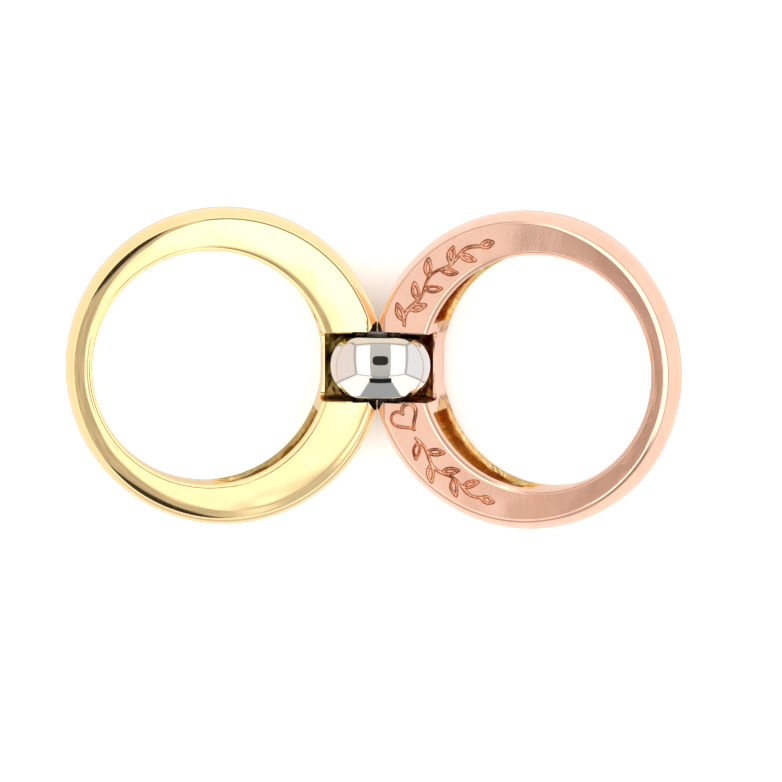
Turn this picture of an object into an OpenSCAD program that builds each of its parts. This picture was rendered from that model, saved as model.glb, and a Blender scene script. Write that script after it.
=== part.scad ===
// Double finger ring that opens like a book.
// Two domed bands, one yellow gold and one rose gold, each turn on a hidden
// pin through one white gold ball. Shown open: the flat inner faces look up
// in a shallow valley and the domed sides meet below them, which is the stop.
// Closed, the two flat faces meet and the bands are worn as one domed ring
// with the ball on top. Units are millimetres, +X runs from the ball towards
// the rose band, +Z is up and z = 0 is the surface that the ring lies on.

/* [Finger hole] */
// Radius of the finger hole in each band
finger_r = 8.5; // [8.4:0.05:8.6]
// Size of the small chamfer round the hole, on the flat face
hole_chamfer = 0.28; // [0.15:0.01:0.35]

/* [Band] */
// Radius of the outer edge of the flat face
face_r = 10.9; // [10.8:0.05:11]
// How far the outside of the band is shifted towards the ball
face_shift = 1.15; // [1.1:0.05:1.2]
// How far the dome stands out past the edge of the flat face
dome_bulge = 0.65; // [0.6:0.05:0.7]
// Depth of the widest part of the dome below the flat face
dome_depth = 1.8; // [1.75:0.05:1.85]
// Radius of the lower part of the dome, in section
dome_low_r = 10; // [9.5:0.5:11]
// Depth of the band beside the middle of the finger hole
mid_depth = 4.1; // [4.05:0.05:4.2]
// Angle at which the underside falls away towards the ball
side_taper = 11.5; // [11.3:0.1:11.8]

/* [Hollows] */
// Thickness of the flat face over the hollows
face_plate = 0.65; // [0.55:0.05:0.8]
// Thickness of the outer side under the hollows
side_plate = 0.6; // [0.5:0.05:0.8]
// Radius of the hollow's outer wall
hollow_r = 8.7; // [8.6:0.05:8.75]
// How far the hollow's outer wall is shifted towards the ball
hollow_shift = 2.3; // [2.2:0.05:2.4]
// Half width of the solid block that carries the hinge
block_half = 3.25; // [3.1:0.05:3.5]

/* [Ball] */
// Radius of the ball at its middle
ball_r = 3.64; // [3.62:0.01:3.66]
// Radius of the ball's crown from one flat end to the other
crown_r = 2.95; // [2.7:0.05:3.6]
// Radius of the flatter cap on the side of the pins
cap_r = 4.8; // [4.7:0.05:4.9]
// Height of the cap's top above the pins
cap_rise = 2.2; // [2.1:0.05:2.25]
// Half length of the ball between its two flat ends
ball_half = 2.23; // [2.2:0.01:2.26]
// Height of the two pins above the middle of the ball
pin_rise = 0.7; // [0.66:0.01:0.74]

/* [Hinge] */
// Angle of each flat face from the horizontal when the ring is open
open_tilt = 10.5; // [10:0.5:11]
// Depth of each pin below the flat face of its band
pin_depth = 1.1; // [1.05:0.01:1.12]
// Distance of each pin from the middle of the finger hole
pin_reach = 11.05; // [11:0.01:11.1]
// Radius of each pin
pin_r = 0.4; // [0.3:0.05:0.45]
// Length of each pin
pin_len = 7.2; // [6.8:0.1:7.6]
// Running clearance of a pin in the ball, on the radius
pin_run = 0.05; // [0.02:0.01:0.08]
// Clearance of a pin in its band, on the radius
pin_seat = 0.01; // [0.01:0.01:0.03]
// Gap between the two flat faces when closed, and between the stops when open
part_gap = 0.08; // [0.06:0.01:0.1]

/* [Pocket] */
// Half width of the pocket for the ball
pocket_half = 2.49; // [2.48:0.01:2.55]
// Gap round the ball in the pocket
ball_gap = 0.36; // [0.34:0.01:0.37]
// Depth of the window between the pocket and the finger hole
window_depth = 2.9; // [2.7:0.1:3.2]
// Distance of the flat wall behind the pocket from the middle of the hole
wall_reach = 8.4; // [8.36:0.01:8.41]
// Radius of the window's lower corners
window_corner = 0.5; // [0.3:0.1:0.8]
// Width of the notch beside the ball's flat ends, in each band
notch_half = 0.55; // [0.4:0.05:0.6]
// Distance from the middle of the ball at which the notch ends
notch_reach = 3.3; // [3.1:0.05:3.4]
// Depth of the notch below the pins
notch_depth = 0.2; // [0.1:0.05:0.3]

/* [Rest] */
// Height of the pins above the surface that the ring lies on
pin_height = 5.1; // [5.07:0.01:5.13]

/* [Hidden] */
$fn = 96;

gold = "#e9cf8a";
rose = "#e8b49c";
white_gold = "#d9d7cf";

// Distance of each pin from the plane between the bands
pin_x = pin_depth + part_gap / 2;

// Upper arc of the dome, from the edge of the flat face to the widest point
arc_r = (dome_bulge * dome_bulge + dome_depth * dome_depth) / (2 * dome_bulge);
widest = face_r + dome_bulge;

// Middle of the ball seen from a band, from its hole's middle: open and closed
ball_open_x = pin_reach + pin_x * cos(open_tilt) + pin_rise * sin(open_tilt);
ball_open_z = -pin_depth + pin_x * sin(open_tilt) - pin_rise * cos(open_tilt);
ball_shut_x = pin_reach + pin_rise;
ball_shut_z = -pin_depth + pin_x;
pocket_r = ball_r + ball_gap;

big = 40;

// Section of the band's outside, turned about the shifted axis
module dome_section() {
    union() {
        translate([0, -dome_depth]) square([widest - arc_r, dome_depth]);
        intersection() {
            translate([widest - arc_r, -dome_depth]) circle(r = arc_r);
            translate([widest - arc_r, -dome_depth]) square([arc_r, dome_depth]);
        }
        intersection() {
            translate([widest - dome_low_r, -dome_depth]) circle(r = dome_low_r);
            translate([0, -dome_depth - 8]) square([widest, 8]);
        }
    }
}

// Everything below the underside, whose depth grows towards the ball.
// lift raises it, for the floor of the hollows
module below_side(lift) {
    translate([0, 0, -mid_depth + lift])
        rotate([0, side_taper, 0])
            translate([-big / 2, -big / 2, -12])
                cube([big, big, 12]);
}

// Finger hole, with the flat wall left standing behind the pocket
module finger_hole() {
    difference() {
        translate([0, 0, -12]) cylinder(r = finger_r, h = 13);
        translate([wall_reach, -4, -13]) cube([2, 8, 13 - window_depth]);
    }
    translate([0, 0, -hole_chamfer])
        cylinder(r1 = finger_r, r2 = finger_r + 2 * hole_chamfer, h = 2 * hole_chamfer);
}

// Hollows cast inside the band on both sides of the hinge block
module hollows() {
    difference() {
        translate([hollow_shift, 0, -12])
            cylinder(r = hollow_r, h = 12 - face_plate);
        below_side(side_plate);
        translate([0, -block_half, -13]) cube([big / 2, 2 * block_half, 14]);
    }
}

// Room for the ball through the whole travel of the band
module pocket() {
    y2 = 2 * pocket_half;
    translate([ball_open_x, pocket_half, ball_open_z])
        rotate([90, 0, 0]) cylinder(r = pocket_r, h = y2);
    translate([ball_open_x, -pocket_half, ball_open_z - pocket_r])
        cube([10, y2, 12]);
    translate([ball_shut_x - pocket_r, -pocket_half, ball_open_z])
        cube([10, y2, 12]);
    // window into the finger hole, its lower corners rounded
    translate([7, -pocket_half, -window_depth + window_corner])
        cube([5, y2, 12]);
    translate([7, -pocket_half + window_corner, -window_depth])
        cube([2.2, y2 - 2 * window_corner, 6]);
    for (s = [-1, 1])
        translate([7, s * (pocket_half - window_corner), -window_depth + window_corner])
            rotate([0, 90, 0]) cylinder(r = window_corner, h = 2.2);
}

// Edge of the flat face beside the pin, rounded about the pin so that the
// two bands pass each other
module edge_relief() {
    difference() {
        translate([pin_reach, -7, -pin_depth]) cube([3, 14, 3]);
        translate([pin_reach, 8, -pin_depth])
            rotate([90, 0, 0]) cylinder(r = pin_depth + part_gap / 4, h = 16);
    }
}

// Blind bore for the pin
module pin_bore() {
    translate([pin_reach, (pin_len + 0.1) / 2, -pin_depth])
        rotate([90, 0, 0]) cylinder(r = pin_r + pin_seat, h = pin_len + 0.1);
}

// One band in its own place: middle of the hole at the origin, flat face at
// z = 0 and the ball towards +X
module band_shape() {
    difference() {
        translate([face_shift, 0, 0]) rotate_extrude() dome_section();
        below_side(0);
        finger_hole();
        hollows();
        pocket();
        edge_relief();
        pin_bore();
    }
}

// Puts the yellow side's things where they lie when the ring is open
module open_place() {
    translate([-pin_x, 0, pin_height])
        rotate([0, open_tilt, 0])
            translate([-pin_reach, 0, pin_depth])
                children();
}

// Small notch in the corner between the pocket and the stop, both sides
module corner_notch() {
    for (s = [-1, 1])
        translate([0, 0, pin_height - notch_depth])
            linear_extrude(height = 12)
                polygon([[-notch_half, s * (pocket_half - 0.1)],
                         [1, s * (pocket_half - 0.1)],
                         [1, s * notch_reach],
                         [-part_gap / 2, s * notch_reach],
                         [-notch_half, s * pocket_half]]);
}

// A band as it lies: flat foot under it, and its stop beside the mid plane
module placed_band() {
    difference() {
        open_place() band_shape();
        corner_notch();
        translate([-30, -20, -10]) cube([60, 40, 10]);
        translate([-part_gap / 2, -20, -1]) cube([20, 40, 20]);
    }
}

module placed_pin() {
    translate([-pin_x, pin_len / 2, pin_height])
        rotate([90, 0, 0]) cylinder(r = pin_r, h = pin_len);
}

module yellow_band() {
    color(gold) placed_band();
}

module rose_band() {
    color(rose) mirror([1, 0, 0]) placed_band();
}

module ball() {
    color(white_gold)
    difference() {
        intersection() {
            translate([0, 0, pin_height - pin_rise])
                rotate([90, 0, 0]) rotate_extrude() intersection() {
                    union() {
                        translate([ball_r - crown_r, 0]) circle(r = crown_r);
                        translate([0, -crown_r]) square([ball_r - crown_r, 2 * crown_r]);
                    }
                    translate([0, -ball_half]) square([ball_r, 2 * ball_half]);
                }
            translate([0, 0, pin_height + cap_rise - cap_r]) sphere(r = cap_r);
        }
        for (s = [-1, 1])
            translate([s * pin_x, 5, pin_height])
                rotate([90, 0, 0]) cylinder(r = pin_r + pin_run, h = 10);
    }
}

module yellow_pin() {
    color(white_gold) placed_pin();
}

module rose_pin() {
    color(white_gold) mirror([1, 0, 0]) placed_pin();
}

yellow_band();
rose_band();
ball();
yellow_pin();
rose_pin();
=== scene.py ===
"""Double finger ring that opens like a book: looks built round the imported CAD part."""
import math

import bpy
import bmesh
import numpy as np
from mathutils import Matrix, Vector


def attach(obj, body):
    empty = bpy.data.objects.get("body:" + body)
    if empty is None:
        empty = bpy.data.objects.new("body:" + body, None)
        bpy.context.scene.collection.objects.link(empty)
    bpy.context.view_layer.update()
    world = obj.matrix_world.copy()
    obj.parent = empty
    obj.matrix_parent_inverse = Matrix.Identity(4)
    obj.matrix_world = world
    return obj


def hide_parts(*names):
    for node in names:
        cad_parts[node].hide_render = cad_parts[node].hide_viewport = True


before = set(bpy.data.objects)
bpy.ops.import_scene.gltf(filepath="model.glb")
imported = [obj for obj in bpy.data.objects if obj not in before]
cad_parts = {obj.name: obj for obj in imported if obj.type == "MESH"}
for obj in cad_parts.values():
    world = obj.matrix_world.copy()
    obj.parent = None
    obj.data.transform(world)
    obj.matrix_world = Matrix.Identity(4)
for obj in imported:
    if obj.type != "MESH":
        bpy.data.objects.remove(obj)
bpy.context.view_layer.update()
scene = bpy.context.scene

# ------------------------------------------------------------------ sizes (mm)
# The same numbers as the CAD part
MM = 0.001
TILT = math.radians(10.5)        # each flat face from the horizontal
PIN_X, PIN_Z = 1.14, 5.10        # pins, from the mid plane and from the floor
REACH, PIN_DEPTH = 11.05, 1.10   # pin, from the hole's middle and below the face
HOLE_R = 8.5
SHIFT = 1.15                     # dome's axis, from the hole's middle
FACE_R = 10.9
ARC_R, ARC_X, ARC_Z = 2.8173, 8.7327, -1.8
LOW_R, LOW_X = 10.0, 1.55
MID_DEPTH, TAPER = 4.1, math.tan(math.radians(11.5))
HOLLOW_X, HOLLOW_R = 2.3, 8.7
PLATE, SIDE_PLATE, BLOCK = 0.65, 0.6, 3.25
POCKET_HALF, POCKET_R = 2.49, 4.0
BALL_X, BALL_Z = 12.2985, -1.5805
BALL_R, CROWN_R, BALL_HALF, BALL_DROP = 3.64, 2.95, 2.23, 0.7
CAP_R, CAP_RISE = 4.8, 2.2
WINDOW_Z, WALL_X = -2.9, 8.40
STOP = 0.004
NOTCH_HALF, NOTCH_REACH, NOTCH_DEPTH = 0.55, 3.3, 0.2
rng = np.random.default_rng(7)


def to_world(p, mirror):
    """Band coordinates (mm, hole's middle at the origin, ball towards +x) to where the open band lies."""
    x, z = p[:, 0] - REACH, p[:, 2] + PIN_DEPTH
    X = -PIN_X + x * math.cos(TILT) + z * math.sin(TILT)
    Z = PIN_Z - x * math.sin(TILT) + z * math.cos(TILT)
    return np.c_[-X if mirror else X, p[:, 1], Z]


# --------------------------------------------------------------- mesh helpers
def new_mesh(name, verts, faces, flip=False):
    me = bpy.data.meshes.new(name)
    if flip:
        faces = [tuple(reversed(f)) for f in faces]
    me.from_pydata([tuple(v) for v in verts], [], faces)
    me.validate()
    me.update()
    ob = bpy.data.objects.new(name, me)
    scene.collection.objects.link(ob)
    return ob


def loop_mesh(name, grid, flip=False, close_u=True, caps=False):
    """A closed section (second index) carried along columns (first index)."""
    n, m, _ = grid.shape
    idx = np.arange(n * m).reshape(n, m)
    a = idx
    b = np.roll(idx, -1, axis=1)
    c = np.roll(b, -1, axis=0)
    d = np.roll(a, -1, axis=0)
    quads = np.stack([a, b, c, d], axis=-1)
    if not close_u:
        quads = quads[:-1]
    faces = [tuple(int(i) for i in q) for q in quads.reshape(-1, 4)]
    if caps:
        faces.append(tuple(int(i) for i in reversed(idx[0])))
        faces.append(tuple(int(i) for i in idx[-1]))
    return new_mesh(name, grid.reshape(-1, 3), faces, flip)


def fix_normals(ob):
    bm = bmesh.new()
    bm.from_mesh(ob.data)
    bmesh.ops.recalc_face_normals(bm, faces=bm.faces[:])
    if bm.calc_volume(signed=True) < 0:
        bmesh.ops.reverse_faces(bm, faces=bm.faces[:])
    bm.to_mesh(ob.data)
    bm.free()


def boolean(ob, cutter, op="DIFFERENCE", solver="MANIFOLD"):
    m = ob.modifiers.new("b", "BOOLEAN")
    m.operation, m.object, m.solver = op, cutter, solver
    apply_modifiers(ob)


def apply_modifiers(ob):
    dg = bpy.context.evaluated_depsgraph_get()
    dg.update()
    me = bpy.data.meshes.new_from_object(ob.evaluated_get(dg))
    ob.modifiers.clear()
    old = ob.data
    ob.data = me
    bpy.data.meshes.remove(old)


def tidy(ob):
    """Collapses the slivers that the cuts leave, under half a thousandth of a millimetre."""
    bm = bmesh.new()
    bm.from_mesh(ob.data)
    bmesh.ops.dissolve_degenerate(bm, dist=5e-4, edges=bm.edges[:])
    bmesh.ops.triangulate(bm, faces=[f for f in bm.faces if len(f.verts) > 4])
    bmesh.ops.dissolve_degenerate(bm, dist=5e-4, edges=bm.edges[:])
    bm.to_mesh(ob.data)
    bm.free()


def prism(name, poly, y0, y1):
    """A polygon in x, z carried from y0 to y1."""
    n = len(poly)
    v = [(x, y0, z) for x, z in poly] + [(x, y1, z) for x, z in poly]
    f = [tuple(range(n - 1, -1, -1)), tuple(range(n, 2 * n))]
    f += [(i, (i + 1) % n, (i + 1) % n + n, i + n) for i in range(n)]
    ob = new_mesh(name, v, f)
    fix_normals(ob)
    return ob


def bevel(ob, width, segments, angle=30):
    m = ob.modifiers.new("bevel", "BEVEL")
    m.width, m.segments, m.limit_method, m.angle_limit = width, segments, "ANGLE", math.radians(angle)
    apply_modifiers(ob)


def drop(ob):
    me = ob.data
    bpy.data.objects.remove(ob)
    bpy.data.meshes.remove(me)


def smooth(ob, angle=32):
    me = ob.data
    me.polygons.foreach_set("use_smooth", np.ones(len(me.polygons), bool))
    me.set_sharp_from_angle(angle=math.radians(angle))


# ------------------------------------------------------------ smooth 2D noise
def wave_noise(p, scale, seed, n=24):
    """Smooth noise of about unit size at points p (n, k), from a sum of waves."""
    g = np.random.default_rng(seed)
    k = g.normal(size=(n, p.shape[1])) * scale
    ph = g.uniform(0, 2 * np.pi, n)
    return np.cos(p @ k.T + ph).sum(1) * math.sqrt(2.0 / n) * 0.7


# ------------------------------------------------------- engraved ornament
def to_face(theta, v, mid):
    """Angle along the band and distance from the middle of the flat face to x, y."""
    r = mid(theta) + v
    return np.c_[r * np.cos(theta), r * np.sin(theta)]


def leaf(cx, cy, ang, length, width, bend=0.0, k=14):
    """Outline of one pointed leaf that starts at cx, cy."""
    t = np.linspace(0, 1, k)
    w = width * np.sin(np.pi * t) ** 0.85 * (1 - 0.25 * t)
    s = length * t
    up = bend * np.sin(np.pi * t)
    a = np.r_[np.c_[s, up + w], np.c_[s, up - w][::-1]]
    c, sn = math.cos(ang), math.sin(ang)
    return np.c_[cx + a[:, 0] * c - a[:, 1] * sn, cy + a[:, 0] * sn + a[:, 1] * c]


def sprig_strokes(length, flip=1):
    """A wavy stem with outlined leaves on both sides, in mm along and across the band."""
    out = []
    s = np.linspace(0, length, 90)
    amp, lam = 0.20, 3.3
    out.append(np.c_[s, flip * amp * np.sin(2 * np.pi * s / lam)])
    x, side = 0.35, 1
    while x < length - 0.9:
        y = flip * amp * math.sin(2 * math.pi * x / lam)
        out.append(leaf(x, y + 0.06 * side, side * math.radians(47), 1.22, 0.235, 0.05 * side))
        x += 0.92
        side = -side
    y = flip * amp * math.sin(2 * math.pi * length / lam)
    out.append(leaf(length, y, 0.0, 0.95, 0.25))
    return out


def heart_stroke(size):
    t = np.linspace(0, 2 * np.pi, 60)
    x = 16 * np.sin(t) ** 3
    y = 13 * np.cos(t) - 5 * np.cos(2 * t) - 2 * np.cos(3 * t) - np.cos(4 * t)
    return np.c_[x, y + 2.5] / 32.0 * size


def seg_distance(p, strokes):
    best = np.full(len(p), 9.0)
    for s in strokes:
        a, b = s[:-1], s[1:]
        lo, hi = s.min(0) - 0.6, s.max(0) + 0.6
        m = np.where(((p > lo) & (p < hi)).all(1))[0]
        if not len(m):
            continue
        q = p[m]
        for i in range(len(a)):
            d = b[i] - a[i]
            L = d @ d
            if L < 1e-12:
                continue
            t = np.clip(((q - a[i]) @ d) / L, 0, 1)
            e = np.hypot(q[:, 0] - a[i, 0] - t * d[0], q[:, 1] - a[i, 1] - t * d[1])
            best[m] = np.minimum(best[m], e)
    return best


# ------------------------------------------------------------------- the band
BEVEL = 0.24                     # at the upper edge of the finger hole


def face_mid(phi):
    """Distance from the hole's middle to the middle of the flat face."""
    return 0.5 * (HOLE_R + BEVEL + from_axis(FACE_R * np.ones_like(phi), phi))


def face_half(phi):
    return 0.5 * (from_axis(FACE_R * np.ones_like(phi), phi) - HOLE_R - BEVEL)


def dome_r(z):
    up = ARC_X + np.sqrt(np.maximum(ARC_R ** 2 - (z - ARC_Z) ** 2, 0))
    low = LOW_X + np.sqrt(np.maximum(LOW_R ** 2 - (z - ARC_Z) ** 2, 0))
    return np.where(z > ARC_Z, up, low)


def from_axis(r, phi):
    """Radius about the dome's axis to distance from the hole's middle, in direction phi."""
    return SHIFT * np.cos(phi) + np.sqrt(r ** 2 - (SHIFT * np.sin(phi)) ** 2)


def under(d, phi):
    return -(MID_DEPTH + TAPER * d * np.cos(phi))


def bez(pa, pc, pb, k, ends=True):
    t = np.linspace(0, 1, k)
    if not ends:
        t = t[1:-1]
    return [((1 - u) ** 2 * pa[0] + 2 * u * (1 - u) * pc[0] + u * u * pb[0],
             (1 - u) ** 2 * pa[1] + 2 * u * (1 - u) * pc[1] + u * u * pb[1]) for u in t]


def interp_deg(phi, table):
    """Smooth periodic interpolation of a {degree: value} table."""
    ks = sorted(table)
    x = np.array([k - 360 for k in ks] + ks + [k + 360 for k in ks], float)
    y = np.array([table[k] for k in ks] * 3, float)
    d = np.degrees(phi) % 360
    i = np.clip(np.searchsorted(x, d, side="right") - 1, 0, len(x) - 2)
    t = (d - x[i]) / (x[i + 1] - x[i])
    t = t * t * (3 - 2 * t)
    return y[i] * (1 - t) + y[i + 1] * t


def make_band(name, shoulder_w, shoulder_slope, shoulder_soft, inner_w, pillow, wave, nf=14):
    """One band as a dense section carried round the finger hole; finish_band cuts it to fit the ball."""
    phi = np.radians(np.arange(0, 360, 0.75))
    one = np.ones(len(phi))
    c = np.cos(phi)
    # wall of the finger hole, flat behind the pocket
    hr = np.where((np.abs(np.sin(phi)) < 0.35) & (c > 0), np.minimum(HOLE_R, WALL_X / np.maximum(c, 0.2)), HOLE_R)
    zb = under(hr, phi)
    # the face: worn inner shoulder, slightly crowned middle, outer shoulder
    w = interp_deg(phi, shoulder_w)
    wi = interp_deg(phi, inner_w)
    soft, e = shoulder_soft, 0.075
    se = math.tan(math.radians(shoulder_slope)) * np.clip(w / 0.15, 0, 1)
    s_lo, s_hi = math.tan(math.radians(6)), math.tan(math.radians(19))
    drop_in = wi * 0.5 * (s_lo + s_hi)
    pa, pb = math.radians(pillow[0]), math.radians(pillow[1])
    length = np.maximum(w - e, 0.03)
    f0 = (HOLE_R + BEVEL + 0.09) * one
    fm = f0 + wi
    d_guess = from_axis(FACE_R * one, phi)
    L = np.maximum(d_guess - e - length - fm, 0.05)
    crown = L * pa * pa / (2 * (pa + pb))
    drop_f = crown + L * (pb - pa) / 2
    drop_z = drop_f + length * se * (1 - 0.5 * soft) + e * se
    d_edge = from_axis(dome_r(-drop_z), phi)
    f1 = np.maximum(d_edge - e - length, fm + 0.05)
    L = f1 - fm
    pts = []
    # lower edge of the hole
    t0 = 0.34 + 0.10 * np.clip(c, 0, 1)
    pts += bez((hr + t0, under(hr + t0, phi)), (hr, zb), (hr, zb + t0), 7)
    pts += [(hr, zb + t0 + 0.35 * (-1.3 - zb - t0)), (hr, zb + t0 + 0.7 * (-1.3 - zb - t0))]
    # bevel at the upper edge of the hole
    top_in = -(crown + drop_in)
    bw, bh = BEVEL, 0.165
    bx0, bz0 = HOLE_R * one, top_in - bh
    bx1, bz1 = (HOLE_R + bw) * one, top_in
    qx, qz = bw / math.hypot(bw, bh), bh / math.hypot(bw, bh)
    pts += bez((bx0, bz0 - 0.09), (bx0, bz0), (bx0 + 0.09 * qx, bz0 + 0.09 * qz), 5)
    pts += bez((bx1 - 0.09 * qx, bz1 - 0.09 * qz), (bx1, bz1), (bx1 + 0.09, bz1 + 0.09 * s_hi * np.clip(wi / 0.1, 0, 1)), 5)
    for k in range(1, 8):
        s = k / 7
        rise = wi * ((s_hi * s) + (s_lo - s_hi) * s * s / 2)
        pts.append((f0 + wi * s + 0.002 * k, np.minimum(-(crown + drop_in) + rise + 0.09 * s_hi * np.clip(wi / 0.1, 0, 1) * (1 - s), -crown)))
    # middle of the face
    for k in range(1, nf + 1):
        s = k / nf
        d = fm + 0.014 + (L - 0.014) * s
        z = -crown + L * (pa * s - (pa + pb) * s * s / 2)
        xy = np.c_[d * np.cos(phi), d * np.sin(phi)]
        pts.append((d, z + wave * wave_noise(xy, 1.0, 31) * math.sin(math.pi * s)))
    drop_f = crown + L * (pb - pa) / 2
    drop_z = drop_f + length * se * (1 - 0.5 * soft) + e * se
    # shoulder: from flat to sloping
    for k in range(1, 9):
        s = k / 8
        pts.append((f1 + (d_edge - e - f1) * s, -(drop_f + length * se * (soft * 0.5 * s * s + (1 - soft) * s))))
    # edge between the face and the dome
    z_after = -drop_z - 0.09
    pts += bez((d_edge - e, -drop_z + e * se), (d_edge, -drop_z), (from_axis(dome_r(z_after), phi), z_after), 8)[1:]
    # dome
    for k in range(1, 13):
        z = z_after + (ARC_Z - z_after) * (k / 12)
        pts.append((from_axis(dome_r(z), phi), z))
    zc = -4.3 * one
    for _ in range(12):
        zc = under(from_axis(dome_r(zc), phi), phi)
    dc = from_axis(dome_r(zc), phi)
    te = 0.42
    z_end = zc + te
    for k in range(1, 9):
        z = ARC_Z + (z_end - ARC_Z) * (k / 8)
        pts.append((from_axis(dome_r(z), phi), z))
    # lower outer edge and underside
    pts += bez((from_axis(dome_r(z_end), phi), z_end), (dc, zc), (dc - te, under(dc - te, phi)), 8)[1:]
    da, db = dc - te, hr + t0
    for k in (1, 2, 3):
        d = da + (db - da) * k / 4
        pts.append((d, under(d, phi)))
    D = np.stack([p[0] * one for p in pts], axis=1)
    Z = np.stack([p[1] * one for p in pts], axis=1)
    G = np.stack([D * np.cos(phi)[:, None], D * np.sin(phi)[:, None], Z], axis=-1)
    ob = loop_mesh(name, G)
    fix_normals(ob)
    return ob


def engraving_cutter(a0, a1, strokes):
    """Height field between two angles (degrees): below the flat face inside the strokes, above it elsewhere."""
    half, depth, lift = 0.132, 0.18, 0.05
    th = np.radians(np.arange(a0, a1 + 0.01, 0.17))
    v = np.linspace(0, 1, 84)
    mid = face_mid(th)
    hw = face_half(th)
    R = mid[:, None] + (v[None, :] * 2 - 1) * (hw[:, None] - 0.12)
    X, Y = R * np.cos(th)[:, None], R * np.sin(th)[:, None]
    p = np.c_[X.reshape(-1), Y.reshape(-1)]
    d = seg_distance(p, strokes)
    # hand-cut look: the width and the depth of a cut vary a little
    hv = half * (1 + 0.14 * wave_noise(p, 1.9, 3))
    z = (d - hv) * (depth / 0.085)
    z = np.clip(z, -depth * (1 + 0.12 * wave_noise(p, 2.6, 5)) + 0.05 * np.clip(d / half, 0, 1), lift)
    z += 0.008 * wave_noise(p, 16.0, 9) * (z < -0.06)
    low = np.stack([X, Y, z.reshape(X.shape)], axis=-1)
    low[0, :, 2] = low[-1, :, 2] = lift
    low[:, 0, 2] = low[:, -1, 2] = lift
    top = low.copy()
    top[..., 2] = 0.6
    n, m = X.shape
    i = np.arange(n * m).reshape(n, m)
    q = [np.stack([i[:-1, :-1], i[1:, :-1], i[1:, 1:], i[:-1, 1:]], -1).reshape(-1, 4)]
    j = i + n * m
    q.append(np.stack([j[:-1, :-1], j[:-1, 1:], j[1:, 1:], j[1:, :-1]], -1).reshape(-1, 4))
    for row, flip in ((i[0, :], 0), (i[-1, :], 1), (i[:, 0], 1), (i[:, -1], 0)):
        a, b = row[:-1], row[1:]
        f = np.stack([a, b, b + n * m, a + n * m], -1)
        q.append(f[:, ::-1] if flip else f)
    ob = new_mesh("engraving", np.concatenate([low.reshape(-1, 3), top.reshape(-1, 3)]), [tuple(int(k) for k in f) for f in np.concatenate(q)])
    fix_normals(ob)
    return ob


def crescent_cutter(side):
    """The cast hollow on one side of the hinge block, with rough walls."""
    def r_of(t):
        return HOLLOW_X * np.cos(t) + np.sqrt(HOLLOW_R ** 2 - (HOLLOW_X * np.sin(t)) ** 2)
    t = np.linspace(math.asin(BLOCK / 10.9), math.radians(104), 96)
    grids = []
    rr = r_of(t)
    x, y = rr * np.cos(t), rr * np.sin(t)
    top = -PLATE * np.ones_like(t)
    bot_out = -(MID_DEPTH + TAPER * x) + SIDE_PLATE
    rin = 7.6
    xi, yi = rin * np.cos(t), rin * np.sin(t)
    # the block's side wall is straight: pull the first columns on to y = BLOCK
    k = t < math.asin(BLOCK / rin)
    t_in = np.maximum(t, math.asin(BLOCK / rin))
    xi = np.where(k, rin * np.cos(t_in), xi)
    yi = np.where(k, BLOCK + 0 * t, yi)
    bot_in = -(MID_DEPTH + TAPER * xi) + SIDE_PLATE
    sec = []
    nz, nr, rc = 12, 10, 0.28
    for j in range(nr + 1):       # ceiling, from the hole outwards
        s = j / nr
        sec.append((xi + (x - xi) * s, yi + (y - yi) * s, top))
    for j in range(1, nz):        # back wall
        s = j / nz
        sec.append((x, y, top + (bot_out - top) * s))
    for j in range(nr + 1):       # floor, back to the hole
        s = 1 - j / nr
        sec.append((xi + (x - xi) * s, yi + (y - yi) * s, bot_in + (bot_out - bot_in) * s))
    for j in range(1, 3):
        s = j / 3
        sec.append((xi, yi, bot_in + (top - bot_in) * s))
    g = np.stack([np.stack(p, axis=-1) for p in sec], axis=1)
    # round the inner corners and roughen the cast walls
    for cidx in (nr, nr + nz):
        g[:, cidx] = 0.5 * g[:, cidx] + 0.25 * (g[:, cidx - 1] + g[:, cidx + 1])
    rad = np.hypot(g[..., 0], g[..., 1])
    q = g.reshape(-1, 3)
    rough = (0.030 * wave_noise(q, 3.2, 11 + side) + 0.022 * wave_noise(q, 7.5, 21 + side)).reshape(rad.shape)
    deep = np.clip((rad - 8.6) / 0.5, 0, 1)
    g[:, nr:nr + nz + 1, 0] -= (rough * deep * np.cos(t)[:, None])[:, nr:nr + nz + 1]
    g[:, nr:nr + nz + 1, 1] -= (rough * deep * np.sin(t)[:, None])[:, nr:nr + nz + 1]
    g[:, nr + nz:2 * nr + nz, 2] += np.abs(rough * deep)[:, nr + nz:2 * nr + nz]
    if side < 0:
        g[..., 1] *= -1
    ob = loop_mesh("hollow", g, close_u=False, caps=True)
    fix_normals(ob)
    return ob


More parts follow.
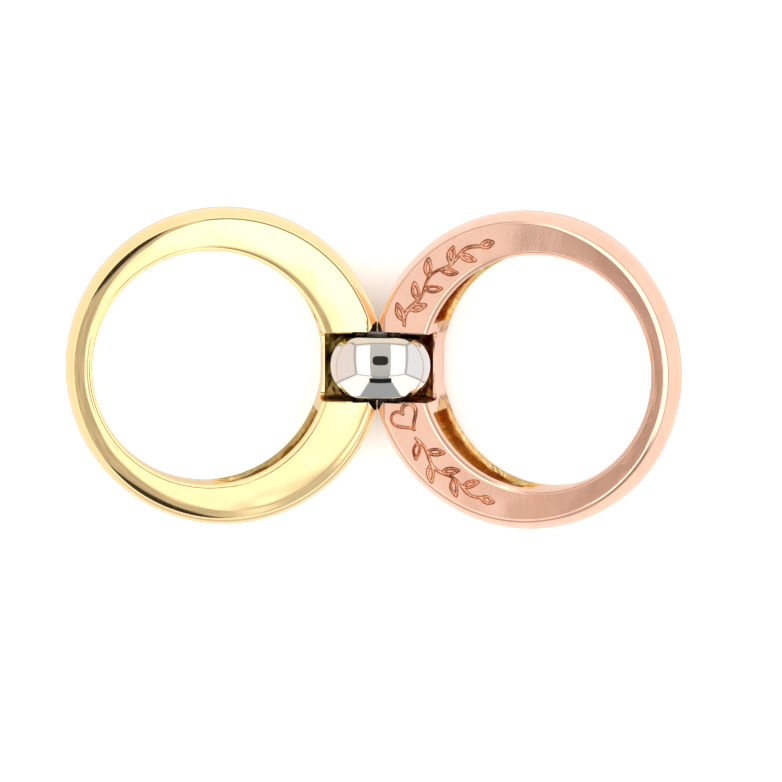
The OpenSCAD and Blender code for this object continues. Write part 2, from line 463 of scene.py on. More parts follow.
def pocket_cutters():
    cs = []
    arc = [(BALL_X - POCKET_R * math.cos(t), BALL_Z - POCKET_R * math.sin(t)) for t in np.linspace(0, math.pi / 2, 28)]
    x0 = 8.41
    poly = [(x0, 6), (x0, BALL_Z + 0.3)] + arc + [(22, BALL_Z - POCKET_R), (22, 6)]
    p = prism("pocket", poly, -POCKET_HALF, POCKET_HALF)
    bevel(p, 0.22, 4, 50)
    cs.append(p)
    # window to the finger hole, lower corners rounded
    wr = 0.5
    yz = [(-POCKET_HALF, 3), (-POCKET_HALF, WINDOW_Z + wr)]
    yz += [(-POCKET_HALF + wr - wr * math.cos(t), WINDOW_Z + wr - wr * math.sin(t)) for t in np.linspace(0.12, math.pi / 2, 9)]
    yz += [(POCKET_HALF - wr + wr * math.sin(t), WINDOW_Z + wr - wr * math.cos(t)) for t in np.linspace(0, math.pi / 2 - 0.12, 9)]
    yz += [(POCKET_HALF, WINDOW_Z + wr), (POCKET_HALF, 3)]
    m = len(yz)
    v = [(7.0, a, b) for a, b in yz] + [(9.3, a, b) for a, b in yz]
    f = [tuple(range(m)), tuple(range(2 * m - 1, m - 1, -1))] + [(i, i + m, (i + 1) % m + m, (i + 1) % m) for i in range(m)]
    wdw = new_mesh("window", v, f)
    fix_normals(wdw)
    cs.append(wdw)
    # small chamfer round the mouth of the pocket
    h = 0.10
    for sgn in (-1, 1):
        y = sgn * POCKET_HALF
        v = [(6.5, y - sgn * 0.4, 0.3), (6.5, y + sgn * (h + 0.3), 0.3), (6.5, y - sgn * 0.4, -0.4 - h)]
        v += [(22, a, b) for _, a, b in v]
        c = new_mesh("chamfer", v, [(0, 1, 2), (5, 4, 3), (0, 3, 4, 1), (1, 4, 5, 2), (2, 5, 3, 0)])
        fix_normals(c)
        cs.append(c)
    # edge beside the pin, rounded about the pin
    r = 1.12
    a0 = math.acos(1.1 / r)
    poly = [(REACH + r * math.sin(t), -PIN_DEPTH + r * math.cos(t)) for t in np.linspace(a0 * 0.2, math.pi / 2, 26)]
    poly += [(18, -PIN_DEPTH), (18, 3), (poly[0][0], 3)]
    cs.append(prism("edge", poly, -7, 7))
    # bore for the pin
    k = 24
    poly = [(REACH + 0.41 * math.cos(t), -PIN_DEPTH + 0.41 * math.sin(t)) for t in np.linspace(0, 2 * math.pi, k, endpoint=False)]
    cs.append(prism("bore", poly, -3.65, 3.65))
    return cs


def finish_band(ob, mirror, body, node, mats, engraved=()):
    """Cuts, placing and riding."""
    for m in mats:
        ob.data.materials.append(m)
    for s in (-1, 1):
        cut = crescent_cutter(s)
        for m in mats:
            cut.data.materials.append(m)
        cut.data.polygons.foreach_set("material_index", np.ones(len(cut.data.polygons), np.int32))
        boolean(ob, cut)
        drop(cut)
    for a0, a1, strokes in engraved:
        cut = engraving_cutter(a0, a1, strokes)
        for m in mats:
            cut.data.materials.append(m)
        cut.data.polygons.foreach_set("material_index", np.full(len(cut.data.polygons), 4, np.int32))
        boolean(ob, cut)
        drop(cut)
    for i, cut in enumerate(pocket_cutters()):
        for m in mats:
            cut.data.materials.append(m)
        if i < 1:
            cut.data.polygons.foreach_set("material_index", np.full(len(cut.data.polygons), 3, np.int32))
        boolean(ob, cut)
        drop(cut)
    me = ob.data
    co = np.zeros(len(me.vertices) * 3)
    me.vertices.foreach_get("co", co)
    co = to_world(co.reshape(-1, 3), False)
    me.vertices.foreach_set("co", co.reshape(-1))
    me.update()
    # small notch in the corner between the pocket and the stop, in near-black painted shade
    for s in (-1, 1):
        xy = [(-NOTCH_HALF, s * (POCKET_HALF - 0.1)), (1, s * (POCKET_HALF - 0.1)), (1, s * NOTCH_REACH), (-0.04, s * NOTCH_REACH), (-NOTCH_HALF, s * POCKET_HALF)]
        zf = PIN_Z - NOTCH_DEPTH
        v = [(x, y, zf) for x, y in xy] + [(x, y, 12) for x, y in xy]
        f = [(0, 1, 2, 3, 4), (9, 8, 7, 6, 5)] + [(i, (i + 1) % 5, (i + 1) % 5 + 5, i + 5) for i in range(5)]
        c = new_mesh("notch", v, f)
        fix_normals(c)
        for m in mats:
            c.data.materials.append(m)
        c.data.polygons.foreach_set("material_index", np.full(len(c.data.polygons), 2, np.int32))
        boolean(ob, c)
        drop(c)
    # the foot it lies on, and the stop beside the other band
    for name, lo, hi in (("foot", (-30, -20, -10), (60, 20, 0)), ("stop", (-STOP, -20, -5), (40, 20, 30))):
        v = [(x, y, z) for x in (lo[0], hi[0]) for y in (lo[1], hi[1]) for z in (lo[2], hi[2])]
        f = [(0, 1, 3, 2), (4, 6, 7, 5), (0, 4, 5, 1), (2, 3, 7, 6), (0, 2, 6, 4), (1, 5, 7, 3)]
        c = new_mesh(name, v, f)
        fix_normals(c)
        c.data.materials.append(mats[0])
        boolean(ob, c)
        drop(c)
    tidy(ob)
    me = ob.data
    co = np.zeros(len(me.vertices) * 3)
    me.vertices.foreach_get("co", co)
    co = co.reshape(-1, 3)
    if mirror:
        co[:, 0] *= -1
    me.vertices.foreach_set("co", (co * MM).reshape(-1))
    if mirror:
        me.flip_normals()
    me.update()
    smooth(ob, 33)
    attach(ob, body)
    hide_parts(node)
    return ob


# ------------------------------------------------------------- shader helpers
class S:
    """A socket with arithmetic, so that patterns read as formulas."""

    def __init__(self, tree, sock):
        self.t, self.s = tree, sock

    def _m(self, op, *others, clamp=False):
        n = self.t.nodes.new("ShaderNodeMath")
        n.operation, n.use_clamp = op, clamp
        for i, o in enumerate((self,) + others):
            if isinstance(o, S):
                self.t.links.new(o.s, n.inputs[i])
            else:
                n.inputs[i].default_value = float(o)
        return S(self.t, n.outputs[0])

    def __add__(self, o): return self._m("ADD", o)
    def __radd__(self, o): return self._m("ADD", o)
    def __sub__(self, o): return self._m("SUBTRACT", o)
    def __mul__(self, o): return self._m("MULTIPLY", o)
    def __rmul__(self, o): return self._m("MULTIPLY", o)
    def __truediv__(self, o): return self._m("DIVIDE", o)
    def __neg__(self): return self._m("MULTIPLY", -1.0)
    def rsub(self, v): return (self * -1.0) + v
    def max(self, o): return self._m("MAXIMUM", o)
    def min(self, o): return self._m("MINIMUM", o)
    def gt(self, o): return self._m("GREATER_THAN", o)
    def lt(self, o): return self._m("LESS_THAN", o)
    def abs(self): return self._m("ABSOLUTE")
    def pow(self, o): return self._m("POWER", o)
    def clamp(self): return self._m("ADD", 0.0, clamp=True)
    def atan2(self, o): return self._m("ARCTAN2", o)
    def asin(self): return self._m("ARCSINE")
    def sqrt(self): return self._m("SQRT")
    def sin(self): return self._m("SINE")

    def step(self, a, b):
        """0 below a, 1 above b, smooth between."""
        n = self.t.nodes.new("ShaderNodeMapRange")
        n.interpolation_type = "SMOOTHSTEP"
        if a < b:
            n.inputs["From Min"].default_value, n.inputs["From Max"].default_value = a, b
            self.t.links.new(self.s, n.inputs["Value"])
            return S(self.t, n.outputs[0])
        n.inputs["From Min"].default_value, n.inputs["From Max"].default_value = b, a
        self.t.links.new(self.s, n.inputs["Value"])
        return S(self.t, n.outputs[0]).rsub(1.0)

    def band(self, a, b, soft):
        """1 between a and b."""
        return self.step(a - soft, a + soft) * self.step(b + soft, b - soft)


def dot(tree, vec, axis):
    n = tree.nodes.new("ShaderNodeVectorMath")
    n.operation = "DOT_PRODUCT"
    tree.links.new(vec, n.inputs[0])
    n.inputs[1].default_value = tuple(axis)
    return S(tree, n.outputs["Value"])


def mix(tree, fac, a, b):
    """Colour mix; a and b are sockets or plain colours."""
    n = tree.nodes.new("ShaderNodeMix")
    n.data_type = "RGBA"
    tree.links.new(fac.s, n.inputs[0])
    for sock, v in ((n.inputs[6], a), (n.inputs[7], b)):
        if hasattr(v, "links"):
            tree.links.new(v, sock)
        elif isinstance(v, S):
            tree.links.new(v.s, sock)
        else:
            sock.default_value = tuple(v) + (1.0,)
    return n.outputs[2]


def noise(tree, vec, scale, detail=2.0, rough=0.5, dist=0.0, mapping=None):
    n = tree.nodes.new("ShaderNodeTexNoise")
    n.inputs["Scale"].default_value = scale
    n.inputs["Detail"].default_value = detail
    n.inputs["Roughness"].default_value = rough
    n.inputs["Distortion"].default_value = dist
    if mapping is not None:
        m = tree.nodes.new("ShaderNodeMapping")
        tree.links.new(vec, m.inputs["Vector"])
        m.inputs["Rotation"].default_value = mapping[0]
        m.inputs["Scale"].default_value = mapping[1]
        vec = m.outputs[0]
    tree.links.new(vec, n.inputs["Vector"])
    return S(tree, n.outputs["Fac"])


def object_coords(tree):
    n = tree.nodes.new("ShaderNodeTexCoord")
    return n.outputs["Object"]


def bump(tree, height, distance, strength=1.0, normal=None):
    n = tree.nodes.new("ShaderNodeBump")
    n.inputs["Distance"].default_value = distance
    n.inputs["Strength"].default_value = strength
    tree.links.new(height.s, n.inputs["Height"])
    if normal is not None:
        tree.links.new(normal, n.inputs["Normal"])
    return n.outputs[0]


def scratches(tree, P, scale, length, thin, keep):
    """Sparse short straight scratches: one thin slab, turned at random, in some cells of a lattice."""
    v = tree.nodes.new("ShaderNodeTexVoronoi")
    v.inputs["Scale"].default_value = scale
    tree.links.new(P, v.inputs["Vector"])
    sc = tree.nodes.new("ShaderNodeVectorMath")
    sc.operation = "SCALE"
    sc.inputs["Scale"].default_value = scale
    tree.links.new(P, sc.inputs[0])
    loc = tree.nodes.new("ShaderNodeVectorMath")
    loc.operation = "SUBTRACT"
    tree.links.new(sc.outputs[0], loc.inputs[0])
    ps = tree.nodes.new("ShaderNodeVectorMath")
    ps.operation = "SCALE"
    ps.inputs["Scale"].default_value = scale
    tree.links.new(v.outputs["Position"], ps.inputs[0])
    tree.links.new(ps.outputs[0], loc.inputs[1])
    cn = tree.nodes.new("ShaderNodeVectorMath")
    cn.operation = "SUBTRACT"
    tree.links.new(v.outputs["Color"], cn.inputs[0])
    cn.inputs[1].default_value = (0.5, 0.5, 0.5)
    nn = tree.nodes.new("ShaderNodeVectorMath")
    nn.operation = "NORMALIZE"
    tree.links.new(cn.outputs[0], nn.inputs[0])
    dn = tree.nodes.new("ShaderNodeVectorMath")
    dn.operation = "DOT_PRODUCT"
    tree.links.new(loc.outputs[0], dn.inputs[0])
    tree.links.new(nn.outputs[0], dn.inputs[1])
    dist = S(tree, dn.outputs["Value"]).abs()
    sep = tree.nodes.new("ShaderNodeSeparateColor")
    tree.links.new(v.outputs["Color"], sep.inputs[0])
    on = S(tree, sep.outputs[0]).lt(keep)
    return dist.step(thin, thin * 0.3) * S(tree, v.outputs["Distance"]).step(length, length * 0.6) * on


def hole_coords(t, P, side):
    """Along the band to the ball, distance from the hole's axis and depth below the face, in mm."""
    u = dot(t, P, (-side * 983.25, 0, -182.24)) + 13.10
    y = dot(t, P, (0, 1000.0, 0))
    deep = dot(t, P, (-side * 182.24, 0, 983.25)) * -1.0 + 5.907
    return u, (u * u + y * y).sqrt(), y.abs(), deep


def polished(name, color, rough, waves, scratch, wear=0.0, stain=None, end=False):
    """Polished gold with the fine wear that a real ring shows; on the ball's flat ends, painted shade as well."""
    m = bpy.data.materials.new(name)
    m.use_nodes = True
    t = m.node_tree
    b = t.nodes["Principled BSDF"]
    P = object_coords(t)
    b.inputs["Metallic"].default_value = 1.0
    tone = noise(t, P, 260, 2.0, 0.5)
    col = mix(t, (tone - 0.35) * 1.6, [c * 0.965 for c in color], color)
    worn = noise(t, P, 640, 4.0, 0.62, 0.5, ((0, 0, 0.7), (1.0, 0.34, 1.0)))
    if wear:
        col = mix(t, worn.step(0.42, 0.70) * (0.35 * wear), col, [c * k for c, k in zip(color, (0.90, 0.80, 0.74))])
    if stain:
        # cast skin left on the hole's wall, running from the hollow to the window
        side, skin, brown = stain
        u, rr, ya, deep = hole_coords(t, P, side)
        spot = noise(t, P, 1500, 3.0, 0.6)
        run = (deep + (ya - 3.25) * 1.9 + (spot - 0.5) * 1.6).step(1.5, 1.9) * ya.step(2.1, 2.5) * ya.step(3.7, 3.5)
        run = run * u.step(3.0, 4.0) * rr.step(8.70, 8.60) * deep.step(0.3, 0.5)
        col = mix(t, run, col, mix(t, spot.step(0.45, 0.6), skin, brown))
    r = noise(t, P, 520, 3.0, 0.6)
    fine = noise(t, P, 5200, 2.0, 0.5)
    sc = scratches(t, P, 620, 0.42, 0.010, 0.55).max(scratches(t, P, 1300, 0.45, 0.016, 0.40) * 0.7)
    rr = r * (0.5 * rough) + (0.75 * rough) + sc * (0.16 * scratch)
    height = noise(t, P, 120, 2.0, 0.45) * waves + fine * (0.006 + 0.012 * wear) + sc * (-0.010 * scratch)
    if end:
        # the ball's flat end: satin, with painted shade in its colour and specular tint, darkest where it stays inside
        # the pocket
        z = dot(t, P, (0, 0, 1000.0)) + (noise(t, P, 900, 3.0, 0.6) - 0.5) * 1.4
        end_shade = (z.step(3.3, 4.5) * 0.25 + 0.75) * dot(t, P, (0, 1000.0, 0)).abs().step(2.178, 2.202)
        col = mix(t, end_shade, col, (0.030, 0.019, 0.012))
        rr = rr + end_shade * 0.22
        t.links.new(mix(t, end_shade, (1, 1, 1), (0.06, 0.045, 0.03)), b.inputs["Specular Tint"])
    if wear:
        height = height + worn * (0.06 * wear) + noise(t, P, 2100, 3.0, 0.6, 0.0, ((0, 0, -0.5), (1.0, 0.25, 1.0))) * (0.015 * wear)
    t.links.new(col, b.inputs["Base Color"])
    t.links.new(rr.clamp().s, b.inputs["Roughness"])
    bev = t.nodes.new("ShaderNodeBevel")
    bev.samples = 4
    bev.inputs["Radius"].default_value = 0.00005
    t.links.new(bump(t, height, 0.00006, 1.0, bev.outputs[0]), b.inputs["Normal"])
    return m


def cast(name, color, dark, side=None):
    """Rough cast and tumbled metal inside the hollows and the pocket."""
    m = bpy.data.materials.new(name)
    m.use_nodes = True
    t = m.node_tree
    b = t.nodes["Principled BSDF"]
    P = object_coords(t)
    b.inputs["Metallic"].default_value = 1.0
    lump = noise(t, P, 1400, 4.0, 0.62, 0.4)
    grain = noise(t, P, 5200, 3.0, 0.6)
    stain = noise(t, P, 700, 3.0, 0.6, 0.8).step(0.40, 0.68)
    col = mix(t, stain * 0.9, color, dark)
    if side:
        # smoother lumps, and painted shade: a darker run along the floor under the rim, where the face plate shades it
        wide = noise(t, P, 520, 3.0, 0.55, 0.6)
        u, rr, ya, deep = hole_coords(t, P, side)
        col = mix(t, stain * 0.45, color, dark)
        run = (rr + (wide - 0.5) * 1.1).step(8.86, 9.02) * rr.step(9.9, 9.4) * deep.step(2.2, 3.0)
        col = mix(t, run * 0.9, col, [c * k for c, k in zip(dark, (0.52, 0.42, 0.30))])
        # the floor rolls over towards the hole
        roll = rr.step(8.38, 8.98) * deep.step(2.2, 3.0)
        lump = wide * 1.1 + lump * 0.35 + roll * 1.7
        grain = grain * 0.35
    t.links.new(col, b.inputs["Base Color"])
    t.links.new((noise(t, P, 1400, 4.0, 0.62, 0.4) * 0.30 + stain * 0.12 + 0.10).clamp().s, b.inputs["Roughness"])
    b.inputs["Specular Tint"].default_value = tuple(min(1.0, c ** 0.35) for c in color) + (1.0,)
    t.links.new(bump(t, lump * 0.8 + grain * 0.35, 0.00012, 0.9), b.inputs["Normal"])
    return m


def pocket(name, color, x_sign, top_z):
    """The pocket round the ball: near-black painted shade, lighter in random patches, and painted light on the wall
    near its rim and in the corners.
    """
    m = bpy.data.materials.new(name)
    m.use_nodes = True
    t = m.node_tree
    b = t.nodes["Principled BSDF"]
    P = object_coords(t)
    b.inputs["Metallic"].default_value = 1.0
    lump = noise(t, P, 1300, 4.0, 0.62, 0.4)
    patch = noise(t, P, 620, 3.0, 0.6, 0.7)
    x = dot(t, P, (x_sign, 0, 0))
    z = dot(t, P, (0, 0, 1))
    # painted light: lighter metal on the wall behind the ball, up to its rim, and in the corners
    y = dot(t, P, (0, 1, 0)).abs()
    wall = x.step(top_z - 0.0007, top_z - 0.0001)
    corner = x.step(0.0026, 0.0034) * y.step(0.0018, 0.0024)
    patch_and_rim_light = ((patch - 0.5) * 1.7 + wall * 0.34 + corner * 0.14).step(0.06, 0.26)
    col = mix(t, patch_and_rim_light, (0.030, 0.018, 0.010), [c * 0.74 for c in color])
    t.links.new(mix(t, lump.step(0.45, 0.7) * 0.5, col, [c * 0.25 for c in color]), b.inputs["Base Color"])
    b.inputs["Specular Tint"].default_value = tuple(0.6 * c for c in color) + (1.0,)
    t.links.new((lump * 0.30 + 0.22).clamp().s, b.inputs["Roughness"])
    t.links.new(bump(t, lump * 0.8 + patch * 0.5, 0.00012, 0.9), b.inputs["Normal"])
    return m


YELLOW = (1.0, 0.77, 0.42)
ROSE = (0.97, 0.62, 0.475)
WHITE = (0.80, 0.78, 0.73)
mat_yellow = polished("yellow_gold_polished", YELLOW, 0.085, 0.5, 0.6, 0.45)
mat_rose = polished("rose_gold_polished", ROSE, 0.10, 0.5, 1.0, 1.0, (1, (0.78, 0.38, 0.09), (0.38, 0.13, 0.02)))
mat_white = polished("white_gold_polished", WHITE, 0.035, 0.12, 0.25)
mat_white_end = polished("white_gold_end", WHITE, 0.035, 0.12, 0.25, end=True)
# hollows: cast metal, with painted shade under the rim
mat_yellow_cast = cast("yellow_gold_cast", (1.0, 0.78, 0.34), (0.66, 0.40, 0.09), -1)
mat_rose_cast = cast("rose_gold_cast", (1.0, 0.76, 0.34), (0.78, 0.36, 0.08), 1)
mat_rose_cut = cast("rose_gold_engraved", (0.80, 0.45, 0.29), (0.42, 0.18, 0.10))
# pockets: near-black painted shade, with lighter patches and a lighter rim
mat_yellow_pocket = pocket("yellow_gold_pocket", (1.0, 0.70, 0.22), -1, 0.0040)
mat_rose_pocket = pocket("rose_gold_pocket", (1.0, 0.50, 0.20), 1, 0.0038)
# near-black painted shade for the notch between the bands
mat_recess_shade = cast("recess_painted_shade", (0.030, 0.019, 0.012), (0.010, 0.007, 0.005))
# pins in near-black painted shade, where they show in the crevice
mat_pin_shade = polished("pin_steel_painted_shade", (0.085, 0.07, 0.055), 0.30, 0.3, 1.0)

# --------------------------------------------------------------------- bands
def rose_strokes():
    """Leaf sprigs along both wide parts of the face, and a plain heart outline."""
    out = []
    for a0, a1, sgn in ((17.5, 71.0, 1), (-29.5, -72.0, -1)):
        m = float(face_mid(np.array([math.radians((a0 + a1) / 2)]))[0])
        length = math.radians(abs(a1 - a0)) * m
        part = []
        for s in sprig_strokes(length - 1.0, sgn):
            th = math.radians(a0) + sgn * s[:, 0] / m
            part.append(to_face(th, s[:, 1], face_mid))
        out.append((min(a0, a1) - 3.5, max(a0, a1) + 3.5, part))
    th = math.radians(-21.0)
    h = heart_stroke(2.05)
    m0 = float(face_mid(np.array([th]))[0])
    rot = math.radians(-38)
    hx = h[:, 0] * math.cos(rot) - h[:, 1] * math.sin(rot)
    hy = h[:, 0] * math.sin(rot) + h[:, 1] * math.cos(rot)
    cx, cy = m0 * math.cos(th), m0 * math.sin(th)
    part = [np.c_[cx + hx, cy + hy]]
    out.append((-28.5, -13.8, part))
    return out


yellow = make_band(
    "yellow_gold_band",
    {0: 0.16, 20: 0.20, 90: 0.20, 105: 0.36, 120: 0.62, 140: 0.74, 180: 0.86, 220: 0.94, 240: 1.02, 260: 0.90, 280: 0.70, 300: 0.64, 325: 0.58, 340: 0.40, 352: 0.2},
    21, 0.80,
    {0: 0.56, 20: 0.60, 40: 0.52, 60: 0.42, 80: 0.28, 100: 0.12, 120: 0.0, 275: 0.0, 290: 0.12, 345: 0.14, 352: 0.3},
    (1.2, 2.2), 0.010)
finish_band(yellow, False, "yellow", "yellow_band", (mat_yellow, mat_yellow_cast, mat_recess_shade, mat_yellow_pocket))
rose = make_band(
    "rose_gold_band",
    {0: 0.10, 80: 0.10, 95: 0.12, 110: 0.20, 120: 0.26, 140: 0.33, 180: 0.36, 200: 0.34, 220: 0.27, 240: 0.23, 260: 0.20, 300: 0.18, 330: 0.14, 345: 0.10},
    24, 0.35,
    {0: 0.0, 270: 0.0, 285: 0.12, 345: 0.12, 355: 0.0},
    (0.5, 0.7), 0.006)
finish_band(rose, True, "rose", "rose_band", (mat_rose, mat_rose_cast, mat_recess_shade, mat_rose_pocket, mat_rose_cut), rose_strokes())


# ---------------------------------------------------------------------- ball
def smax(a, b, k):
    """Larger of two distances, with the edge between them rounded over about k."""
    h = np.maximum(k - np.abs(a - b), 0) / k
    return np.maximum(a, b) + h * h * k * 0.25


LEAN, LEAN_X = math.radians(5.7), 0.17     # the ball rocks a little between the bands


def ball_distance(p):
    y = p[..., 1]
    dx, dz = p[..., 0] - LEAN_X, p[..., 2] - (PIN_Z - BALL_DROP)
    x = dx * math.cos(LEAN) - dz * math.sin(LEAN)
    z = dx * math.sin(LEAN) + dz * math.cos(LEAN)
    core = BALL_R - CROWN_R
    side = np.hypot(np.hypot(x, z) - core, y) - CROWN_R
    # cap: a conic a little flatter than a sphere towards its rim
    c, k = 0.23, -0.3
    r2 = np.minimum(x * x + y * y, 30.0)
    root = np.sqrt(1 - k * c * c * r2)
    sag = c * r2 / (1 + root)
    slope2 = c * c * r2 / (root * root)
    cap = (z - (CAP_RISE - 0.08 + BALL_DROP) + sag) / np.sqrt(1 + slope2)
    end = np.abs(y) - BALL_HALF
    return smax(smax(side - 0.01, cap, 0.10), end, 0.20)


def make_ball():
    """A ball with two flat ends and a flatter cap, found along rays from its middle."""
    nu, nv = 300, 170
    zc = PIN_Z - 0.2
    th = np.linspace(0, 2 * math.pi, nu, endpoint=False)
    la = np.linspace(-math.pi / 2, math.pi / 2, nv + 2)[1:-1]
    T, L = np.meshgrid(th, la, indexing="ij")
    d = np.stack([np.cos(L) * np.cos(T), np.sin(L), np.cos(L) * np.sin(T)], axis=-1)
    lo, hi = np.full(T.shape, 0.5), np.full(T.shape, 6.0)
    for _ in range(44):
        m = 0.5 * (lo + hi)
        v = ball_distance(d * m[..., None] + np.array([0, 0, zc]))
        lo, hi = np.where(v < 0, m, lo), np.where(v < 0, hi, m)
    P = d * lo[..., None] + np.array([0, 0, zc])
    verts = [tuple(v) for v in P.reshape(-1, 3)] + [(0, -BALL_HALF, zc), (0, BALL_HALF, zc)]
    faces = []
    for i in range(nu):
        k = (i + 1) % nu
        for j in range(nv - 1):
            faces.append((i * nv + j, k * nv + j, k * nv + j + 1, i * nv + j + 1))
        faces.append((nu * nv, k * nv, i * nv))
        faces.append((nu * nv + 1, i * nv + nv - 1, k * nv + nv - 1))
    ob = new_mesh("white_gold_ball", verts, faces)
    fix_normals(ob)
    for s in (-1, 1):
        kk = 40
        c = prism("bore", [(s * PIN_X + 0.45 * math.cos(t), PIN_Z + 0.45 * math.sin(t)) for t in np.linspace(0, 2 * math.pi, kk, endpoint=False)], -5, 5)
        boolean(ob, c)
        drop(c)
    me = ob.data
    co = np.zeros(len(me.vertices) * 3)
    me.vertices.foreach_get("co", co)
    me.vertices.foreach_set("co", co * MM)
    me.update()
    me.materials.clear()
    me.materials.append(mat_white)
    me.materials.append(mat_white_end)
    n = len(me.polygons)
    cen = np.zeros(n * 3)
    me.polygons.foreach_get("center", cen)
    # the flat ends take the material with painted shade
    ends = np.abs(cen.reshape(-1, 3)[:, 1]) > (BALL_HALF - 0.10) * MM
    me.polygons.foreach_set("material_index", ends.astype(np.int32))
    smooth(ob, 33)
    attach(ob, "hub")
    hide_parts("ball")
    return ob


ball = make_ball()
# the pins take the material with painted shade
for n in ("yellow_pin", "rose_pin"):
    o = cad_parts[n]
    o.data.materials.clear()
    o.data.materials.append(mat_pin_shade)

# -------------------------------------------------------------------- camera
GAMMA, U, ROLL, PX = math.radians(5.729), math.radians(6.192), math.radians(0.224), 13.795
DIST = 0.62
right0 = np.array([math.cos(GAMMA), 0, -math.sin(GAMMA)])
zp = np.array([math.sin(GAMMA), 0, math.cos(GAMMA)])
up0 = np.array([0, 1.0, 0]) * math.cos(U) - zp * math.sin(U)
back = zp * math.cos(U) + np.array([0, 1.0, 0]) * math.sin(U)
right = right0 * math.cos(ROLL) + up0 * math.sin(ROLL)
up = -right0 * math.sin(ROLL) + up0 * math.cos(ROLL)
target = np.array([0, 0, PIN_Z]) + right * ((391 - 377.052) / PX) - up * ((391 - 366.122) / PX)
pos = target * MM + back * DIST
cam_data = bpy.data.cameras.new("camera")
cam_data.sensor_width = 36
cam_data.lens = 36 * DIST / (782 / PX * MM)
cam_data.clip_start, cam_data.clip_end = 0.01, 20
cam = bpy.data.objects.new("camera", cam_data)
scene.collection.objects.link(cam)
from mathutils import Matrix
cam.matrix_world = Matrix((
    (right[0], up[0], back[0], pos[0]),
    (right[1], up[1], back[1], pos[1]),
    (right[2], up[2], back[2], pos[2]),
    (0, 0, 0, 1)))
scene.camera = cam

# --------------------------------------------------------------------- stage
world = bpy.data.worlds.new("world")
scene.world = world
world.use_nodes = True
world.node_tree.nodes["Background"].inputs[0].default_value = (0, 0, 0, 1)
world.node_tree.nodes["Background"].inputs[1].default_value = 0.0


def link_to(emitter, *receivers):
    c = bpy.data.collections.new("lit_by_" + emitter.name)
    for r in receivers:
        c.objects.link(r)
    emitter.light_linking.receiver_collection = c


def sphere(name, radius, seg=48, rings=24, z=0.0):
    v, f = [], []
    for j in range(rings + 1):
        a = math.pi * j / rings
        for i in range(seg):
            b = 2 * math.pi * i / seg
            v.append((radius * math.sin(a) * math.cos(b), radius * math.sin(a) * math.sin(b), z + radius * math.cos(a)))
    for j in range(rings):
        for i in range(seg):
            p, q = j * seg + i, j * seg + (i + 1) % seg
            f.append((p, p + seg, q + seg, q))
    me = bpy.data.meshes.new(name)
    me.from_pydata(v, [], f)
    me.validate()
    me.update()
    ob = bpy.data.objects.new(name, me)
    scene.collection.objects.link(ob)
    return ob


def glow(name, build, through=True):
    """Emission that lets other light through, so that one set of cards doesn't hide another."""
    m = bpy.data.materials.new(name)
    m.use_nodes = True
    t = m.node_tree
    t.nodes.clear()
    out = t.nodes.new("ShaderNodeOutputMaterial")
    em = t.nodes.new("ShaderNodeEmission")
    geo = t.nodes.new("ShaderNodeNewGeometry")
    color, strength = build(t, geo.outputs["Position"])
    if isinstance(color, (tuple, list)):
        em.inputs[0].default_value = tuple(color) + (1,)
    else:
        t.links.new(color, em.inputs[0])
    if isinstance(strength, S):
        t.links.new(strength.s, em.inputs[1])
    else:
        em.inputs[1].default_value = strength
    if through:
        tr = t.nodes.new("ShaderNodeBsdfTransparent")
        ad = t.nodes.new("ShaderNodeAddShader")
        t.links.new(em.outputs[0], ad.inputs[0])
        t.links.new(tr.outputs[0], ad.inputs[1])
        t.links.new(ad.outputs[0], out.inputs[0])
    else:
        t.links.new(em.outputs[0], out.inputs[0])
    return m


def angles(t, P):
    """Direction from the ring to a point of the tent: degrees to the right and up, seen from the photo's viewpoint."""
    nrm = t.nodes.new("ShaderNodeVectorMath")
    nrm.operation = "NORMALIZE"
    t.links.new(P, nrm.inputs[0])
    d = nrm.outputs[0]
    x, y, z = dot(t, d, right), dot(t, d, up), dot(t, d, back)
    ax = x.atan2(z) * 57.29578
    ay = y.max(-1.0).min(1.0).asin() * 57.29578
    return ax, ay, x, y, z


# tents seen by the bands, one for each: tone by angle from the direction that
# the flat face reflects (rho) and by direction round it (alpha, 0 towards the ball)
def band_frame(mirror):
    side = 1.0 if mirror else -1.0
    middle = np.array([side * 11.8, 0, 8.2]) * MM
    n = np.array([-side * math.sin(TILT), 0, math.cos(TILT)])
    v = pos - middle
    v = v / np.linalg.norm(v)
    f = 2 * (n @ v) * n - v
    e1 = -side * right
    e1 = e1 - f * (f @ e1)
    e1 = e1 / np.linalg.norm(e1)
    e2 = np.cross(f, e1) * -side
    return middle, f, e1, e2


def polar(t, P, mirror):
    middle, f, e1, e2 = band_frame(mirror)
    sub = t.nodes.new("ShaderNodeVectorMath")
    sub.operation = "SUBTRACT"
    t.links.new(P, sub.inputs[0])
    sub.inputs[1].default_value = tuple(middle)
    nrm = t.nodes.new("ShaderNodeVectorMath")
    nrm.operation = "NORMALIZE"
    t.links.new(sub.outputs[0], nrm.inputs[0])
    d = nrm.outputs[0]
    c, u, w = dot(t, d, f), dot(t, d, e1), dot(t, d, e2)
    s = (u * u + w * w).sqrt()
    rho = s.atan2(c) * 57.29578
    al = (-w).atan2(-u) * 57.29578 + 180.0
    return rho, al, u / s.max(1e-4), w / s.max(1e-4), dot(t, d, back), d


def ramp(x, a, b):
    """Smooth 0 to 1 between two edges that may be sockets themselves."""
    k = ((x - a) / (b - a)).clamp()
    return k * k * (k * -2.0 + 3.0)


def blend(a, b, k):
    """a where k is 0, b where k is 1."""
    return a * k.rsub(1.0) + (b * k if isinstance(b, S) else k * b)


